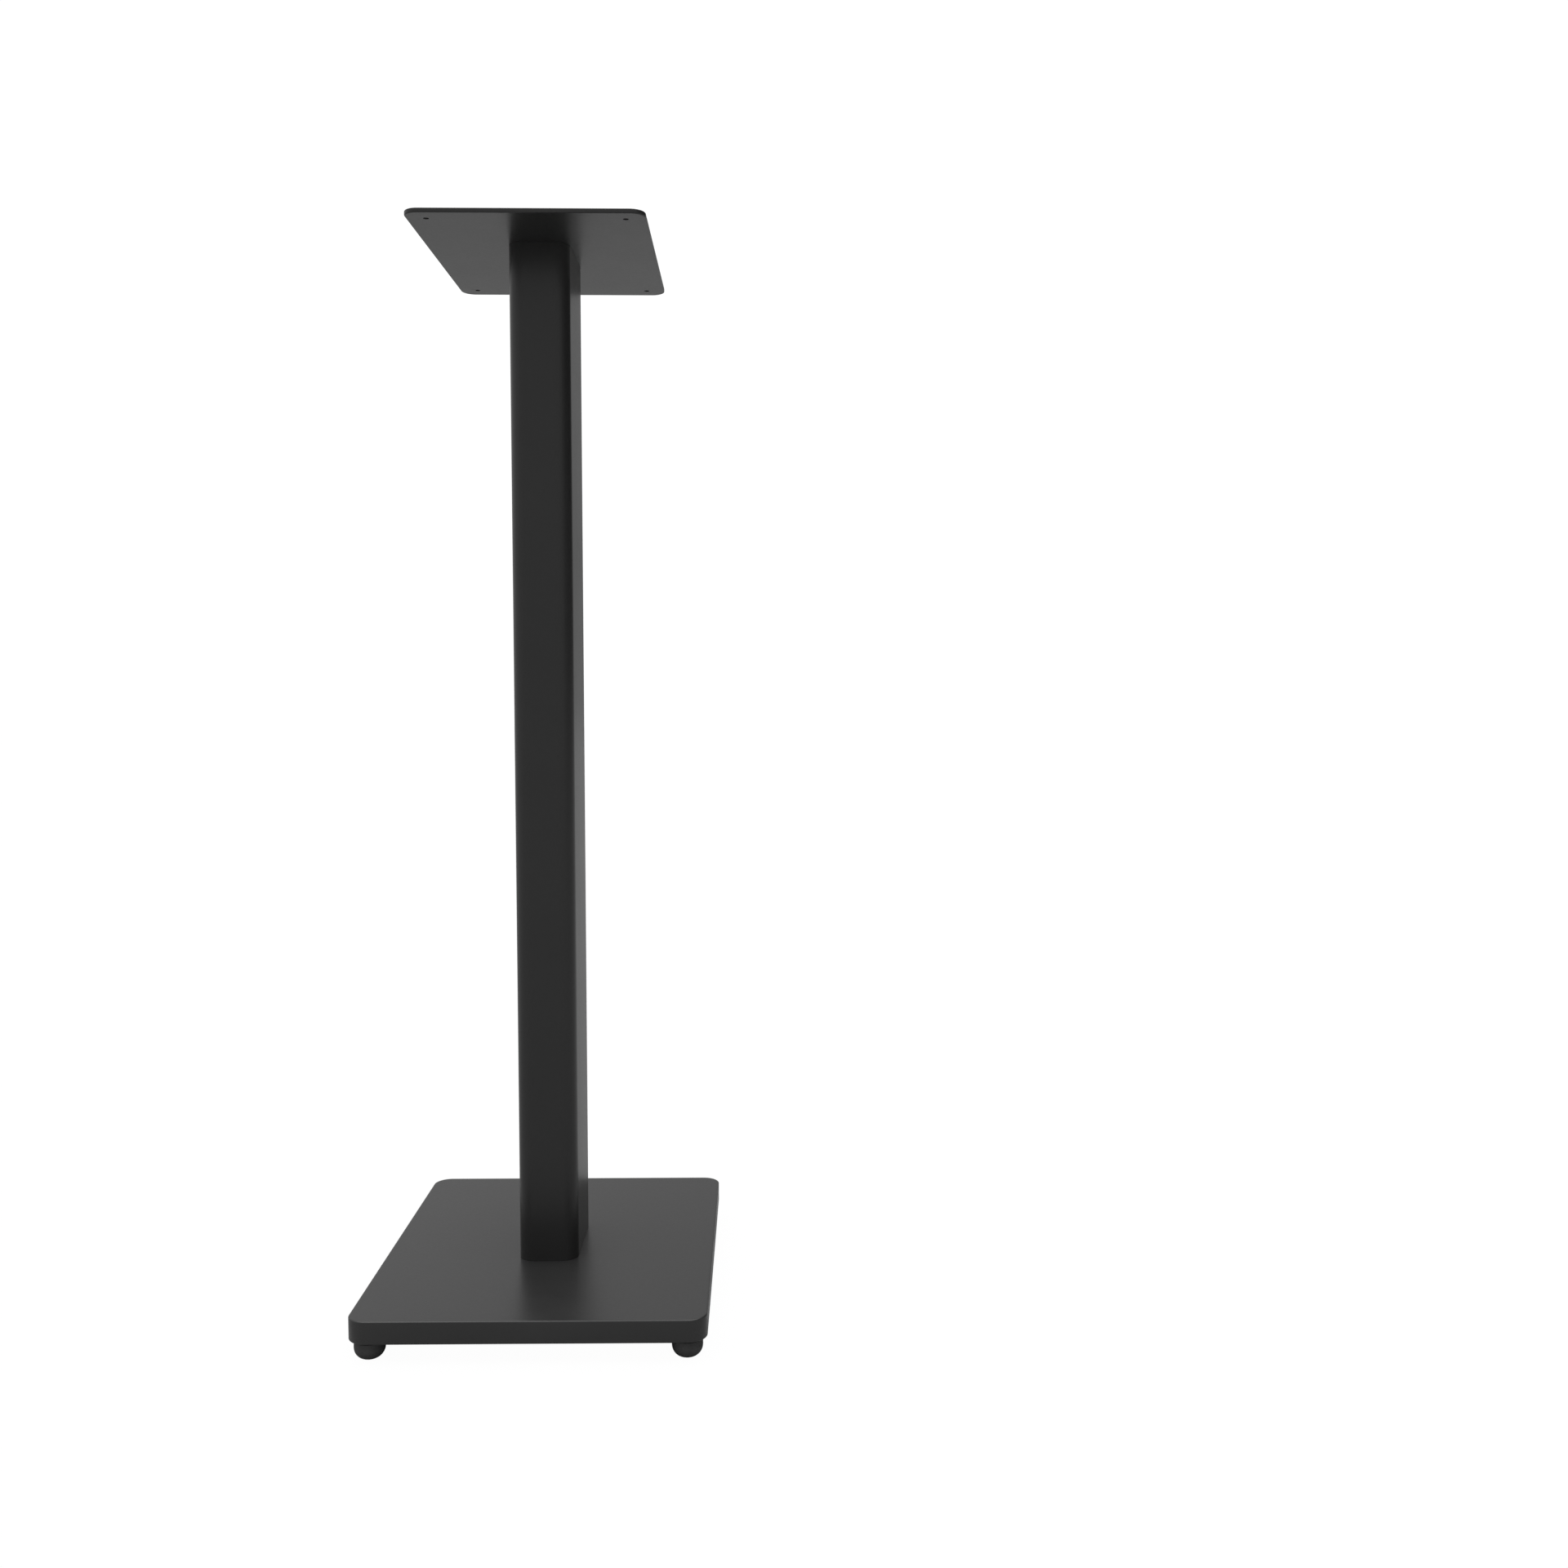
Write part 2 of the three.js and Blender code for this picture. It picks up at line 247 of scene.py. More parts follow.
def add_thread(mesh, root, crest, pitch, bottom, top, steps):
    """The wall of a screw thread. It rises from the root radius at both ends."""
    profile = ((0.0, root), (THREAD_CREST, crest), (THREAD_CREST_END, crest), (THREAD_ROOT, root))
    turns = math.ceil((top - bottom) / pitch) + 1
    fade = pitch / 2
    rows = []
    for turn in range(-1, turns + 1):
        for share, radius in profile:
            row = []
            for k in range(steps):
                height = bottom + pitch * (turn + share + k / steps)
                height = min(max(height, bottom), top)
                full = min(1.0, (height - bottom) / fade, (top - height) / fade)
                reach = root + (radius - root) * full
                angle = TURN * k / steps
                row.append(mesh.verts.new((reach * math.cos(angle), reach * math.sin(angle), height)))
            rows.append(row)
    for r in range(len(rows) - 1 - len(profile)):
        for k in range(steps):
            after = (k + 1) % steps
            climb = len(profile) if after == 0 else 0
            mesh.faces.new((rows[r][k], rows[r + climb][after], rows[r + 1 + climb][after], rows[r + 1][k]))


def to_object(mesh, name):
    """A Blender object from a bmesh, with coincident points joined."""
    bmesh.ops.remove_doubles(mesh, verts=mesh.verts, dist=JOIN_DISTANCE)
    bmesh.ops.recalc_face_normals(mesh, faces=mesh.faces)
    data = bpy.data.meshes.new(name)
    mesh.to_mesh(data)
    mesh.free()
    made = bpy.data.objects.new(name, data)
    bpy.context.scene.collection.objects.link(made)
    return made


def prism(name, outline, profile, closed=False):
    """A body whose rings are outline(inset) at each (inset, height) pair of the profile."""
    mesh = bmesh.new()
    rings = [[(x, y, height) for x, y in outline(inset)] for inset, height in profile]
    rows = add_strips(mesh, rings, closed)
    if not closed:
        mesh.faces.new(rows[0])
        mesh.faces.new(rows[-1])
    return to_object(mesh, name)


def turned_rings(profile, steps, groove=0.0):
    """Rings about Z at (radius, height) pairs. A third value of 1 grooves that ring's every second point."""
    rings = []
    for radius, height, *fluted in profile:
        ring = []
        for k in range(steps):
            angle = TURN * k / steps
            reach = radius - (groove if fluted and k % 2 else 0)
            ring.append((reach * math.cos(angle), reach * math.sin(angle), height))
        rings.append(ring)
    return rings


def turned(name, profile, closed=False, steps=ROUND_STEPS):
    """A body turned about Z from (radius, height) pairs, from the axis back to it unless closed."""
    mesh = bmesh.new()
    add_strips(mesh, turned_rings(profile, steps), closed)
    return to_object(mesh, name)


def screw(name, below, thread, above, steps=ROUND_STEPS):
    """A turned body with a thread of (radius, pitch, bottom, top) between two profiles."""
    radius, pitch, bottom, top = thread
    root = radius - THREAD_DEPTH * pitch
    mesh = bmesh.new()
    add_strips(mesh, turned_rings([*below, (root, bottom)], steps, KNURL_DEPTH))
    add_thread(mesh, root, radius, pitch, bottom, top, steps)
    add_strips(mesh, turned_rings([(root, top), *above], steps))
    return to_object(mesh, name)


def rounding(centre_radius, centre_height, radius, start, steps=EDGE_STEPS):
    """(radius, height) pairs of a quarter circle that starts at the angle and turns anticlockwise."""
    angles = [start + QUARTER * step / steps for step in range(steps + 1)]
    return [
        (centre_radius + radius * math.cos(angle), centre_height + radius * math.sin(angle))
        for angle in angles
    ]


def rolled_side(bottom, top, radius):
    """(inset, height) pairs up the side of a plate whose two edges are rounded. The first and last pair
    lie on its faces, so that the shading of the rounding ends before the flat."""
    flat = 2 * radius
    lower = rounding(radius, bottom + radius, radius, -QUARTER)
    upper = rounding(radius, top - radius, radius, 0)
    mirrored = [(2 * radius - inset, height) for inset, height in [*lower, *upper]]
    return [(flat, bottom), *mirrored, (flat, top)]


def cut(piece, tools):
    """The tools are taken out of the piece and removed."""
    for tool in tools:
        modifier = piece.modifiers.new("cut", "BOOLEAN")
        modifier.operation = "DIFFERENCE"
        modifier.solver = "EXACT"
        modifier.object = tool
    bpy.context.view_layer.update()
    depsgraph = bpy.context.evaluated_depsgraph_get()
    result = bpy.data.meshes.new_from_object(piece.evaluated_get(depsgraph))
    piece.modifiers.clear()
    piece.data = result
    for tool in tools:
        bpy.data.objects.remove(tool)
    return piece


def moved(piece, x=0.0, y=0.0, z=0.0, tilt=0.0):
    """The piece's mesh, tilted about X and then moved."""
    piece.data.transform(Matrix.Translation((x, y, z)) @ Matrix.Rotation(tilt, 4, "X"))
    return piece


def hexagon_tool(flats, bottom, top):
    """A six-sided prism that cuts a socket."""
    radius = flats / math.sqrt(3)
    profile = [(0, bottom), (radius, bottom), (radius, top), (0, top)]
    return turned("tool", profile, steps=6)


def drill(x, y, profile):
    """A turned tool at a place in plan."""
    return moved(turned("tool", profile), x, y)


def middle(node):
    """The middle of a CAD node's box, and the box's lowest and highest corner."""
    low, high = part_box(node)
    return (low + high) / 2, low, high


def finish(piece, node, material):
    """The piece takes the CAD node's place, rides on its body and wears the material."""
    piece.data.shade_smooth()
    piece.data.set_sharp_from_angle(angle=math.radians(SHARP_FROM))
    piece.data.materials.clear()
    piece.data.materials.append(material)
    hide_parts(node)
    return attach(piece, frame["nodes"][node]["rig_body"])


# ---------- Procedural materials ----------

class Finish:
    """A Principled material in the making. Its textures follow the piece's own coordinates, in metres."""

    def __init__(self, name, metallic=0.0, specular=0.5):
        self.material = bpy.data.materials.new(name)
        self.material.use_nodes = True
        self.tree = self.material.node_tree
        self.shader = self.tree.nodes["Principled BSDF"]
        self.shader.inputs["Metallic"].default_value = metallic
        self.shader.inputs["Specular IOR Level"].default_value = specular
        self.place = self.tree.nodes.new("ShaderNodeTexCoord").outputs["Object"]

    def noise(self, grain, detail=2.0, stretch=(1, 1, 1)):
        """Soft noise from 0 to 1 whose grains are that many metres across."""
        mapping = self.tree.nodes.new("ShaderNodeMapping")
        mapping.inputs["Scale"].default_value = [1 / (grain * share) for share in stretch]
        texture = self.tree.nodes.new("ShaderNodeTexNoise")
        texture.inputs["Scale"].default_value = 1.0
        texture.inputs["Detail"].default_value = detail
        self.tree.links.new(self.place, mapping.inputs["Vector"])
        self.tree.links.new(mapping.outputs["Vector"], texture.inputs["Vector"])
        return texture.outputs[0]

    def mixed(self, first, second, share):
        """The two values mixed, with that share of the second."""
        mix = self.tree.nodes.new("ShaderNodeMix")
        mix.inputs[0].default_value = share
        self.tree.links.new(first, mix.inputs[2])
        self.tree.links.new(second, mix.inputs[3])
        return mix.outputs[0]

    def colour(self, value, dark, light):
        """A colour that follows the noise from dark to light."""
        ramp = self.tree.nodes.new("ShaderNodeValToRGB")
        ends = ((NOISE_LOW, dark), (NOISE_HIGH, light))
        for element, (position, shade) in zip(ramp.color_ramp.elements, ends):
            element.position = position
            element.color = (*shade, 1)
        self.tree.links.new(value, ramp.inputs["Fac"])
        self.tree.links.new(ramp.outputs["Color"], self.shader.inputs["Base Color"])

    def roughness(self, value, low, high):
        """A roughness that follows the noise from low to high."""
        scale = self.tree.nodes.new("ShaderNodeMapRange")
        scale.inputs["From Min"].default_value = NOISE_LOW
        scale.inputs["From Max"].default_value = NOISE_HIGH
        scale.inputs["To Min"].default_value = low
        scale.inputs["To Max"].default_value = high
        self.tree.links.new(value, scale.inputs["Value"])
        self.tree.links.new(scale.outputs["Result"], self.shader.inputs["Roughness"])

    def relief(self, value, depth):
        """A fine relief that follows the noise, that many metres deep."""
        bump = self.tree.nodes.new("ShaderNodeBump")
        bump.inputs["Distance"].default_value = depth
        self.tree.links.new(value, bump.inputs["Height"])
        self.tree.links.new(bump.outputs["Normal"], self.shader.inputs["Normal"])


def grey(level):
    return (level, level, level)


def powder_coat():
    """Satin black powder coat: an even colour over a faint orange peel."""
    coat = Finish("powder_coat")
    peel = coat.noise(1.4 * MM, detail=1)
    speckle = coat.noise(0.35 * MM)
    cloud = coat.noise(60 * MM)
    coat.colour(coat.mixed(speckle, cloud, 0.5), grey(0.0138), grey(0.0184))
    coat.roughness(coat.mixed(peel, cloud, 0.5), 0.28, 0.33)
    coat.relief(peel, 0.009 * MM)
    return coat.material


def board_lacquer():
    """Satin black sprayed lacquer, smoother than the powder coat."""
    coat = Finish("board_lacquer")
    peel = coat.noise(2.2 * MM, detail=1)
    cloud = coat.noise(45 * MM)
    coat.colour(cloud, grey(0.0205), grey(0.0240))
    coat.roughness(coat.mixed(peel, cloud, 0.6), 0.27, 0.34)
    coat.relief(peel, 0.006 * MM)
    return coat.material


def rubber(name, level):
    """Moulded rubber with a fine matt grain and a little bloom."""
    skin = Finish(name, specular=0.4)
    grain = skin.noise(0.25 * MM)
    bloom = skin.noise(7 * MM)
    skin.colour(skin.mixed(grain, bloom, 0.6), grey(level * 0.85), grey(level * 1.2))
    skin.roughness(skin.mixed(grain, bloom, 0.4), 0.58, 0.72)
    skin.relief(grain, 0.012 * MM)
    return skin.material


def zinc_plate():
    """Bright zinc plating: bluish, with fine crystals and soft spots."""
    plating = Finish("zinc_plate", metallic=1.0)
    crystals = plating.noise(0.3 * MM)
    spots = plating.noise(4 * MM)
    plating.colour(plating.mixed(crystals, spots, 0.5), (0.50, 0.51, 0.53), (0.66, 0.67, 0.68))
    plating.roughness(plating.mixed(crystals, spots, 0.5), 0.28, 0.44)
    plating.relief(crystals, 0.003 * MM)
    return plating.material


def black_screw():
    """Blackened screw steel, with a slight sheen of oil."""
    steel = Finish("black_screw", metallic=0.6)
    grain = steel.noise(0.2 * MM)
    patches = steel.noise(3 * MM)
    steel.colour(steel.mixed(grain, patches, 0.5), grey(0.018), grey(0.036))
    steel.roughness(steel.mixed(grain, patches, 0.5), 0.32, 0.48)
    steel.relief(grain, 0.003 * MM)
    return steel.material


def bare_steel():
    """Cut steel plate, brushed along its length, with darker scale."""
    steel = Finish("bare_steel", metallic=1.0)
    brushed = steel.noise(0.25 * MM, stretch=(1, 60, 1))
    scale = steel.noise(9 * MM)
    steel.colour(steel.mixed(brushed, scale, 0.6), grey(0.15), grey(0.27))
    steel.roughness(steel.mixed(brushed, scale, 0.4), 0.38, 0.58)
    steel.relief(brushed, 0.006 * MM)
    return steel.material


# ---------- Base board ----------

def base_board(material):
    """The board, with its holes for the bolts and for the inserts of the feet."""
    _, low, high = middle("base_plate")
    size = high - low
    board = prism(
        "base_board",
        lambda inset: rounded_outline(size.x, size.y, BOARD_CORNER, inset),
        rolled_side(low.z, high.z, BOARD_EDGE),
    )
    tools = [bolt_drill(f"base_washer_{corner}", low.z, high.z) for corner in CORNERS]
    tools += [insert_drill(f"foot_insert_{corner}", low.z) for corner in CORNERS]
    return finish(cut(board, tools), "base_plate", material)


def bolt_drill(washer, bottom, top):
    """A through hole with a counterbore from beneath, round the place of a washer."""
    centre, low, high = middle(washer)
    hole = BOLT_RADIUS + FIT_GAP
    bore = (high.x - low.x) / 2 + FIT_GAP
    return drill(centre.x, centre.y, [
        (0, bottom - PAST),
        (bore + BROKEN_EDGE + PAST, bottom - PAST),
        (bore, bottom + BROKEN_EDGE),
        (bore, bottom + COUNTERBORE_DEPTH),
        (hole, bottom + COUNTERBORE_DEPTH),
        (hole, top + PAST),
        (0, top + PAST),
    ])


def insert_drill(insert, bottom):
    """A blind hole with a seat for the insert's flange."""
    centre, low, high = middle(insert)
    seat = (high.x - low.x) / 2 + FIT_GAP
    hole = INSERT_BARREL_RADIUS + FIT_GAP
    end = high.z + INSERT_END_SPACE
    return drill(centre.x, centre.y, [
        (0, bottom - PAST),
        (seat, bottom - PAST),
        (seat, bottom + INSERT_FLANGE_HEIGHT),
        (hole, bottom + INSERT_FLANGE_HEIGHT),
        (hole, end),
        (0, end),
    ])


def board_bolt(corner, material):
    """A socket-head bolt with a knurled head, which hangs below its washer."""
    node = f"base_bolt_{corner}"
    centre, low, high = middle(node)
    head = (high.x - low.x) / 2
    seat = BOLT_HEAD_HEIGHT
    tip = high.z - low.z
    root = BOLT_RADIUS - THREAD_DEPTH * BOLT_PITCH
    bolt = screw(
        f"board_bolt_{corner}",
        [
            (0, 0),
            (head - KNURL_MARGIN, 0),
            (head - BROKEN_EDGE, BOLT_HEAD_CHAMFER),
            (head, KNURL_MARGIN, 1),
            (head, seat - KNURL_MARGIN, 1),
            (head - BROKEN_EDGE, seat - BOLT_HEAD_CHAMFER),
            (head - BROKEN_EDGE, seat),
            (root, seat),
        ],
        (BOLT_RADIUS, BOLT_PITCH, seat + BOLT_RUNOUT, tip - BOLT_POINT),
        [(root - BOLT_TAPER, tip), (0, tip)],
    )
    cut(bolt, [hexagon_tool(BOLT_SOCKET_FLATS, -PAST, BOLT_SOCKET_DEPTH)])
    moved(bolt, centre.x, centre.y, low.z)
    return finish(bolt, node, material)


def board_washer(corner, material):
    """A flat washer with softened edges."""
    node = f"base_washer_{corner}"
    centre, low, high = middle(node)
    outer = (high.x - low.x) / 2
    inner = BOLT_RADIUS + FIT_GAP
    edge = BROKEN_EDGE
    washer = turned(f"board_washer_{corner}", [
        (inner + edge, low.z),
        (outer - edge, low.z),
        (outer, low.z + edge),
        (outer, high.z - edge),
        (outer - edge, high.z),
        (inner + edge, high.z),
        (inner, high.z - edge),
        (inner, low.z + edge),
    ], closed=True)
    return finish(moved(washer, centre.x, centre.y), node, material)


# ---------- Levelling feet ----------

def foot_insert(corner, material):
    """A flanged insert whose barrel is ridged to hold in the board."""
    node = f"foot_insert_{corner}"
    centre, low, high = middle(node)
    flange = (high.x - low.x) / 2
    bore = STUD_RADIUS + FIT_GAP
    edge = BROKEN_EDGE
    barrel = INSERT_BARREL_RADIUS
    flange_top = low.z + INSERT_FLANGE_HEIGHT
    pitch = (high.z - flange_top) / INSERT_RIDGES
    ridged = []
    for k in range(INSERT_RIDGES):
        ridged.append((barrel - INSERT_RIDGE, flange_top + k * pitch))
        ridged.append((barrel, flange_top + (k + RIDGE_CREST) * pitch))
        ridged.append((barrel, flange_top + (k + RIDGE_DROP) * pitch))
    insert = turned(f"insert_{corner}", [
        (bore + edge, low.z),
        (flange - edge, low.z),
        (flange, low.z + edge),
        (flange, flange_top),
        *ridged,
        (barrel - INSERT_RIDGE, high.z),
        (bore + edge, high.z),
        (bore, high.z - edge),
        (bore, low.z + edge),
    ], closed=True)
    return finish(moved(insert, centre.x, centre.y), node, material)


def foot_stud(corner, material):
    """The foot's stud: a head inside the dome, a neck, a stop collar and a thread."""
    node = f"foot_stud_{corner}"
    centre, low, high = middle(node)
    head = (high.x - low.x) / 2
    edge = BROKEN_EDGE
    neck_end = STUD_HEAD_HEIGHT + STUD_NECK_LENGTH
    collar_top = neck_end + COLLAR_HEIGHT
    tip = high.z - low.z
    root = STUD_RADIUS - THREAD_DEPTH * STUD_PITCH
    stud = screw(
        f"stud_{corner}",
        [
            (0, 0),
            (head - edge, 0),
            (head, edge),
            (head, STUD_HEAD_HEIGHT - edge),
            (head - edge, STUD_HEAD_HEIGHT),
            (STUD_NECK_RADIUS, STUD_HEAD_HEIGHT),
            (STUD_NECK_RADIUS, neck_end),
            (COLLAR_RADIUS - edge, neck_end),
            (COLLAR_RADIUS, neck_end + edge),
            (COLLAR_RADIUS, collar_top - edge),
            (COLLAR_RADIUS - edge, collar_top),
        ],
        (STUD_RADIUS, STUD_PITCH, collar_top, tip - STUD_POINT),
        [(root - STUD_TAPER, tip), (0, tip)],
    )
    return finish(moved(stud, centre.x, centre.y, low.z), node, material)


def foot_dome(corner, material):
    """A moulded rubber dome with a parting line, and a pocket for the stud's head."""
    node = f"foot_dome_{corner}"
    centre, low, high = middle(node)
    stud_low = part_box(f"foot_stud_{corner}")[0]
    radius = (high.x - low.x) / 2
    belly = radius - DOME_FLAT_RADIUS
    head = (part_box(f"foot_stud_{corner}")[1].x - stud_low.x) / 2 + FIT_GAP
    neck = STUD_NECK_RADIUS + FIT_GAP
    pocket_floor = stud_low.z - FIT_GAP
    pocket_roof = stud_low.z + STUD_HEAD_HEIGHT + FIT_GAP
    line = low.z + belly + MOULD_LINE_RISE
    dome = turned(f"dome_{corner}", [
        (0, low.z),
        *rounding(DOME_FLAT_RADIUS, low.z + belly, belly, -QUARTER, steps=BELLY_STEPS),
        (radius, line - 2 * MOULD_LINE),
        (radius + MOULD_LINE, line - MOULD_LINE / 2),
        (radius + MOULD_LINE, line + MOULD_LINE / 2),
        (radius, line + 2 * MOULD_LINE),
        *rounding(radius - DOME_RIM, high.z - DOME_RIM, DOME_RIM, 0),
        (neck, high.z),
        (neck, pocket_roof),
        (head, pocket_roof),
        (head, pocket_floor),
        (0, pocket_floor),
    ], steps=DOME_STEPS)
    return finish(moved(dome, centre.x, centre.y), node, material)


# ---------- Column and its grommets ----------

def column_tube(material):
    """The hollow column, open at both ends, with a slot for each grommet."""
    _, low, high = middle("column")
    size = high - low
    wall = TUBE_WALL
    edge = TUBE_EDGE
    tube = prism(
        "column_tube",
        lambda inset: rounded_outline(size.x, size.y, TUBE_CORNER, inset),
        [
            (edge, low.z),
            (0, low.z + edge),
            (0, high.z - edge),
            (edge, high.z),
            (wall - edge, high.z),
            (wall, high.z - edge),
            (wall, low.z + edge),
            (wall - edge, low.z),
        ],
        closed=True,
    )
    tools = [slot_tool(f"cable_grommet_{level}", high.y) for level in ("upper", "lower")]
    return finish(cut(tube, tools), "column", material)


def slot_tool(grommet, wall_face):
    """An oblong tool through the rear wall, inside the lips of the grommet."""
    centre, low, high = middle(grommet)
    width = high.x - low.x - 2 * LIP_OVERHANG
    height = high.z - low.z - 2 * LIP_OVERHANG
    tool = prism(
        "tool",
        lambda inset: rounded_outline(width, height, width / 2, inset),
        [(0, -2 * TUBE_WALL), (0, 2 * TUBE_WALL)],
    )
    return moved(tool, centre.x, wall_face, centre.z, tilt=-QUARTER)


def cable_grommet(level, material):
    """A rubber grommet with a rounded lip on each side of the tube's wall."""
    node = f"cable_grommet_{level}"
    centre, low, high = middle(node)
    wall_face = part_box("column")[1].y
    width = high.x - low.x
    height = high.z - low.z
    lip = high.y - wall_face
    back = low.y - wall_face
    neck = LIP_OVERHANG + FIT_GAP
    passage = neck + GROMMET_WALL
    soft = GROMMET_ROUND
    heel = BROKEN_EDGE
    crown = rounding(passage - soft, lip - soft, soft, 0)
    shoulder = rounding(soft, lip - soft, soft, QUARTER)
    inner_shoulder = rounding(soft, back + soft, soft, 2 * QUARTER)
    inner_crown = rounding(passage - soft, back + soft, soft, 3 * QUARTER)
    ring = prism(
        f"grommet_{level}",
        lambda inset: rounded_outline(width, height, width / 2, inset),
        [
            *crown,
            *shoulder,
            (0, heel),
            (heel, 0),
            (neck, 0),
            (neck, back + lip),
            (heel, back + lip),
            (0, back + lip - heel),
            *inner_shoulder,
            *inner_crown,
        ],
        closed=True,
    )
    moved(ring, centre.x, wall_face, centre.z, tilt=-QUARTER)
    return finish(ring, node, material)


# ---------- Top panel and its screws ----------

def top_panel(material):
    """The top plate, with countersinks for its screws and a fixing hole near each corner."""
    centre, low, high = middle("top_plate")
    size = high - low
    panel = prism(
        "top_panel",
        lambda inset: rounded_outline(size.x, size.y, PANEL_CORNER, inset),
        rolled_side(low.z, high.z, PANEL_EDGE),
    )
    tools = [countersink(f"top_screw_{corner}", low.z, high.z) for corner in CORNERS]
    for side_x in (-1, 1):
        for side_y in (-1, 1):
            x = centre.x + side_x * (size.x / 2 - FIXING_HOLE_INSET)
            y = centre.y + side_y * (size.y / 2 - FIXING_HOLE_INSET)
            tools.append(fixing_drill(x, y, low.z, high.z))
    return finish(cut(panel, tools), "top_plate", material)


def countersink(screw_node, bottom, top):
    """A right-angled countersink with room for the screw, and a softened mouth."""
    centre, low, high = middle(screw_node)
    head = (high.x - low.x) / 2 + FIT_GAP
    shank = DECK_SCREW_RADIUS + FIT_GAP
    rim = high.z - SUNK_RIM
    soft = COUNTERSINK_EDGE
    return drill(centre.x, centre.y, [
        (0, bottom - PAST),
        (shank, bottom - PAST),
        (shank, rim - (head - shank)),
        (head, rim),
        (head, top - soft),
        (head + soft + PAST, top + PAST),
        (0, top + PAST),
    ])


def fixing_drill(x, y, bottom, top):
    """A through hole whose two mouths have a small chamfer."""
    hole = FIXING_HOLE_RADIUS
    mouth = hole + BROKEN_EDGE + PAST
    return drill(x, y, [
        (0, bottom - PAST),
        (mouth, bottom - PAST),
        (hole, bottom + BROKEN_EDGE),
        (hole, top - BROKEN_EDGE),
        (mouth, top + PAST),
        (0, top + PAST),
    ])


def deck_screw(corner, material):
    """A countersunk socket screw. Height 0 is its tip."""
    node = f"top_screw_{corner}"
    centre, low, high = middle(node)
    head = (high.x - low.x) / 2
    top = high.z - low.z
    rim = top - SUNK_RIM
    cone = rim - (head - DECK_SCREW_RADIUS)
    root = DECK_SCREW_RADIUS - THREAD_DEPTH * DECK_SCREW_PITCH
    soft = DECK_SCREW_EDGE
    piece = screw(
        f"deck_screw_{corner}",
        [(0, 0), (root - DECK_SCREW_TAPER, 0)],
        (DECK_SCREW_RADIUS, DECK_SCREW_PITCH, DECK_SCREW_POINT, cone - DECK_SCREW_RUNOUT),
        [(DECK_SCREW_RADIUS, cone), (head, rim), (head, top - soft), (head - soft, top), (0, top)],
    )
    cut(piece, [hexagon_tool(DECK_SOCKET_FLATS, top - DECK_SOCKET_DEPTH, top + PAST)])
    moved(piece, centre.x, centre.y, low.z)
    return finish(piece, node, material)


# ---------- Studio ----------

def add_camera():
    """The camera at the photograph's viewpoint."""
    data = bpy.data.cameras.new("camera")
    data.sensor_width = SENSOR_WIDTH
    data.lens = LENS
    camera = bpy.data.objects.new("camera", data)
    camera.location = CAMERA_PLACE
    camera.rotation_euler = (QUARTER - CAMERA_DOWN, 0, -CAMERA_RIGHT)
    bpy.context.scene.collection.objects.link(camera)
    bpy.context.scene.camera = camera


class Network:
    """The nodes of a studio shader. A value is a number or another node's output."""

    def __init__(self, owner):
        owner.use_nodes = True
        self.tree = owner.node_tree
        self.tree.nodes.clear()

    def add(self, kind, *values):
        """A node of the kind, with the values at its first inputs."""
        node = self.tree.nodes.new(f"ShaderNode{kind}")
        for socket, value in zip(node.inputs, values):
            self.feed(socket, value)
        return node

    def feed(self, socket, value):
        if isinstance(value, bpy.types.NodeSocket):
            self.tree.links.new(value, socket)
        else:
            socket.default_value = value

    def maths(self, operation, *values):
        node = self.add("Math", *values)
        node.operation = operation
        return node.outputs[0]

    def graded(self, value, from_low, from_high, to_low=0.0, to_high=1.0, kind="LINEAR"):
        """The value's range, brought to another range and held at its ends."""
        node = self.add("MapRange", value, from_low, from_high, to_low, to_high)
        node.interpolation_type = kind
        return node.outputs["Result"]

    def blend(self, share, low, high):
        """The two values mixed, with that share of the high one."""
        node = self.add("Mix", share)
        self.feed(node.inputs[2], low)
        self.feed(node.inputs[3], high)
        return node.outputs[0]

    def seen_by_camera(self, share, elsewhere, seen, output):
        """That share of one shader is seen by the camera itself, and the other lights the object."""
        path = self.add("LightPath")
        shown = self.maths("MULTIPLY", path.outputs["Is Camera Ray"], share)
        mix = self.add("MixShader", shown, elsewhere.outputs[0], seen.outputs[0])
        self.add(output, mix.outputs[0])


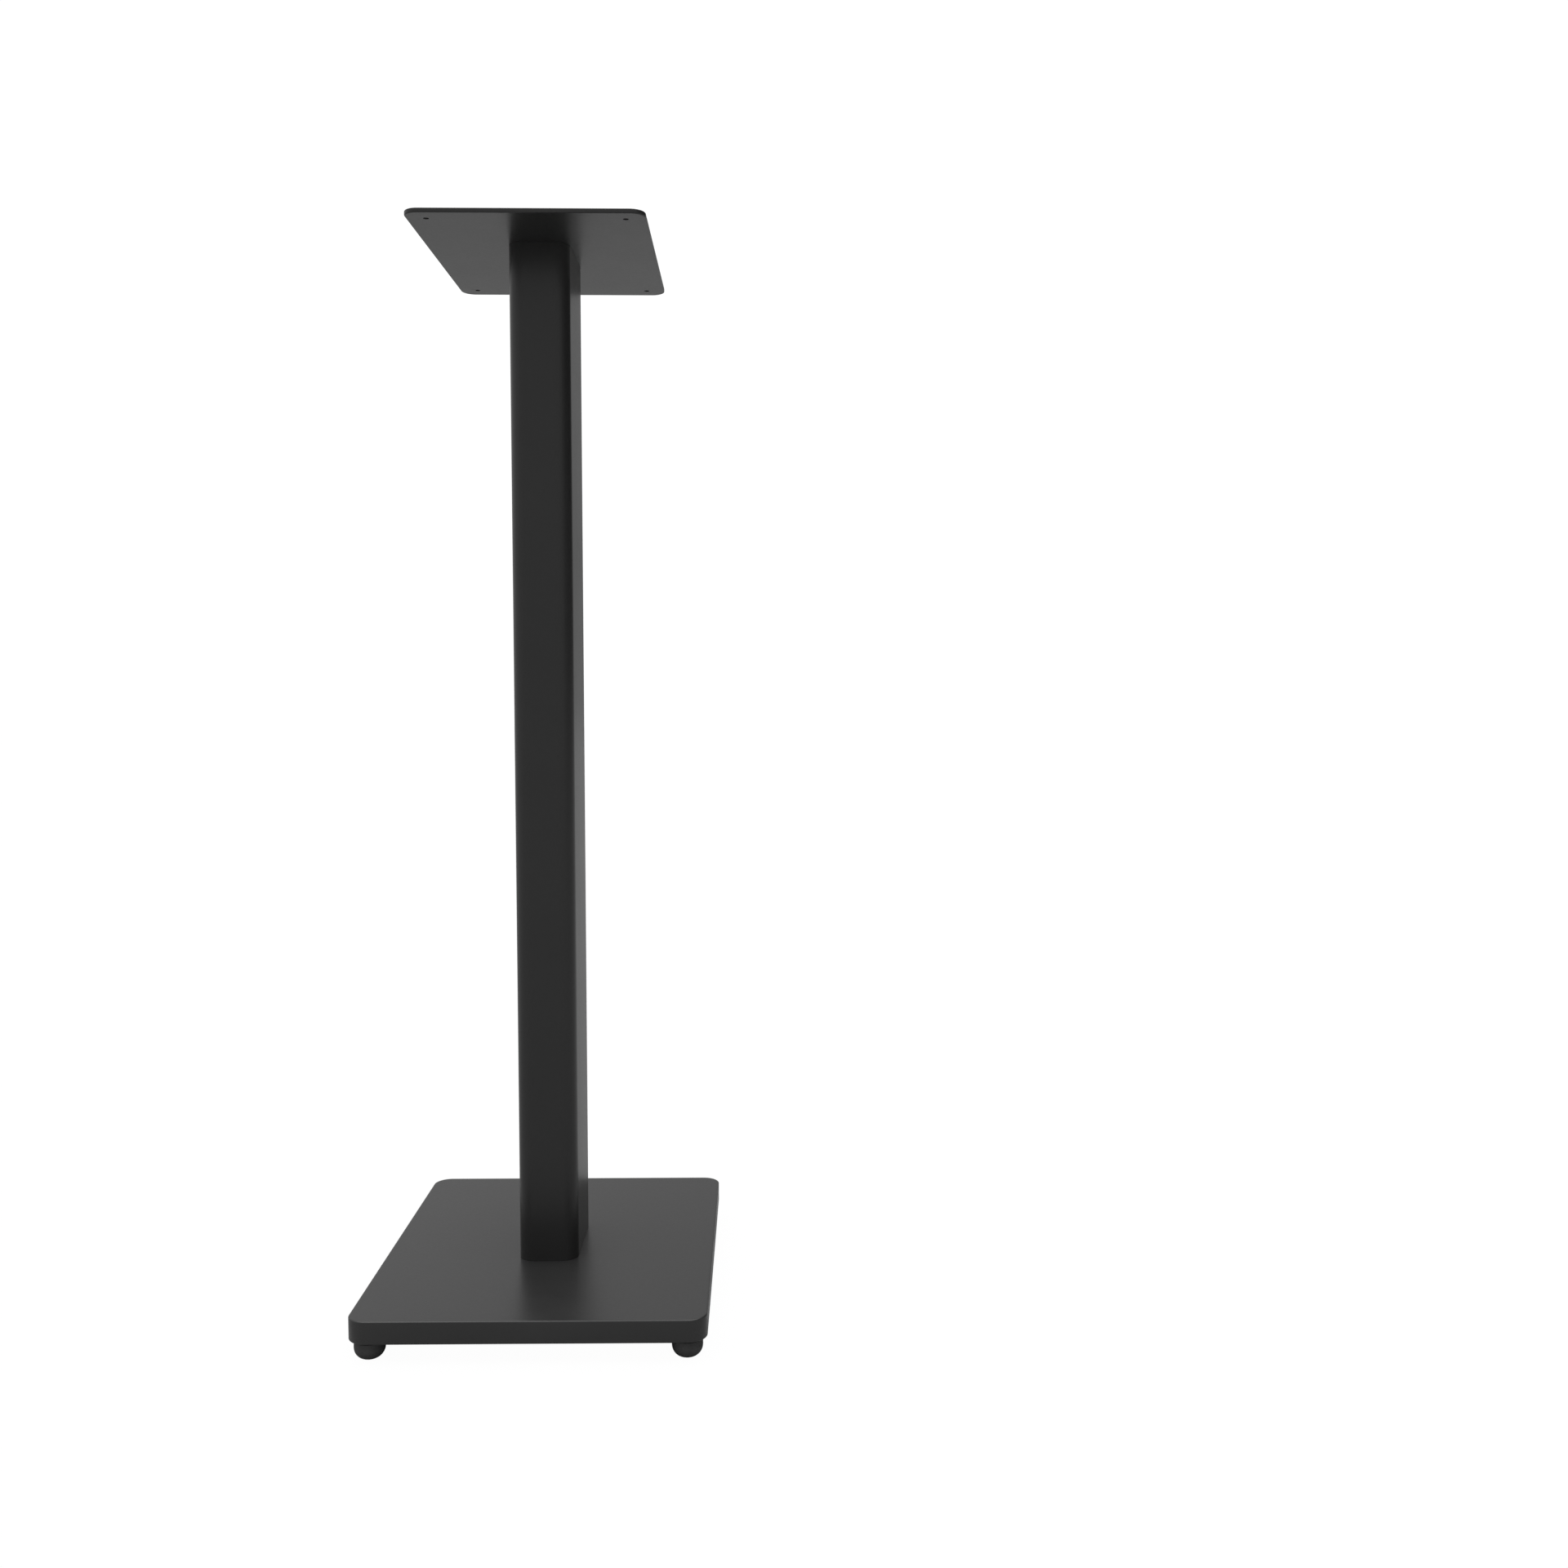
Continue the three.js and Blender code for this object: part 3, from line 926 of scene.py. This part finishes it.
def add_world():
    """Soft studio light from all round and from above. The backdrop itself is white."""
    world = bpy.data.worlds.new("studio")
    bpy.context.scene.world = world
    network = Network(world)
    place = network.add("TexCoord").outputs["Generated"]
    east, north, height = network.add("SeparateXYZ", place).outputs

    # The compass direction, from 0 behind through 0.5 in front and back to 1 behind
    compass = network.maths("ARCTAN2", east, network.maths("MULTIPLY", north, -1))
    walls = network.add("ValToRGB", network.graded(compass, -math.pi, math.pi))
    elements = walls.color_ramp.elements
    while len(elements) < len(WALL_LIGHT):
        elements.new(0.5)
    for element, (degrees, strength) in zip(elements, WALL_LIGHT):
        element.position = (degrees + 180) / 360
        element.color = (*grey(strength), 1)

    rise = network.graded(height, 0, WALL_RISE, WALL_FOOT, 1)
    lit = network.maths("MULTIPLY", walls.outputs["Color"], rise)
    overhead = network.graded(height, CEILING_START, CEILING_FULL, kind="SMOOTHSTEP")
    room = network.blend(overhead, lit, CEILING_LIGHT)
    studio = network.add("Background", (1, 1, 1, 1), room)
    backdrop = network.add("Background", (1, 1, 1, 1), BACKDROP_WHITE)
    network.seen_by_camera(1, studio, backdrop, "OutputWorld")


def add_floor():
    """A plain pale floor, which fades into the backdrop and keeps a faint shadow."""
    data = bpy.data.meshes.new("studio_floor")
    reach = FLOOR_REACH
    corners = [(-reach, -reach, 0), (reach, -reach, 0), (reach, reach, 0), (-reach, reach, 0)]
    data.from_pydata(corners, [], [(0, 1, 2, 3)])
    floor = bpy.data.objects.new("studio_floor", data)
    bpy.context.scene.collection.objects.link(floor)
    material = bpy.data.materials.new("studio_floor")
    network = Network(material)
    paint = network.add("BsdfDiffuse", (*grey(FLOOR_PAINT), 1))
    white = network.add("Emission", (1, 1, 1, 1), BACKDROP_WHITE)
    network.seen_by_camera(FLOOR_FADE, paint, white, "OutputMaterial")
    data.materials.append(material)


def build():
    """Each material once, and each piece in its own."""
    coat = powder_coat()
    lacquer = board_lacquer()
    screw_black = black_screw()
    zinc = zinc_plate()
    steel = bare_steel()
    foot_rubber = rubber("foot_rubber", FOOT_RUBBER_GREY)
    grommet_rubber = rubber("grommet_rubber", GROMMET_RUBBER_GREY)
    base_board(lacquer)
    column_tube(coat)
    top_panel(coat)
    for level in ("upper", "lower"):
        cable_grommet(level, grommet_rubber)
        end_plate = frame["nodes"][f"{level}_end_plate"]
        end_plate.data.materials.clear()
        end_plate.data.materials.append(steel)
    for corner in CORNERS:
        deck_screw(corner, screw_black)
        board_bolt(corner, screw_black)
        board_washer(corner, zinc)
        foot_insert(corner, zinc)
        foot_stud(corner, zinc)
        foot_dome(corner, foot_rubber)


build()
add_camera()
add_world()
add_floor()
bpy.context.scene.view_settings.view_transform = "Standard"
bpy.context.view_layer.update()
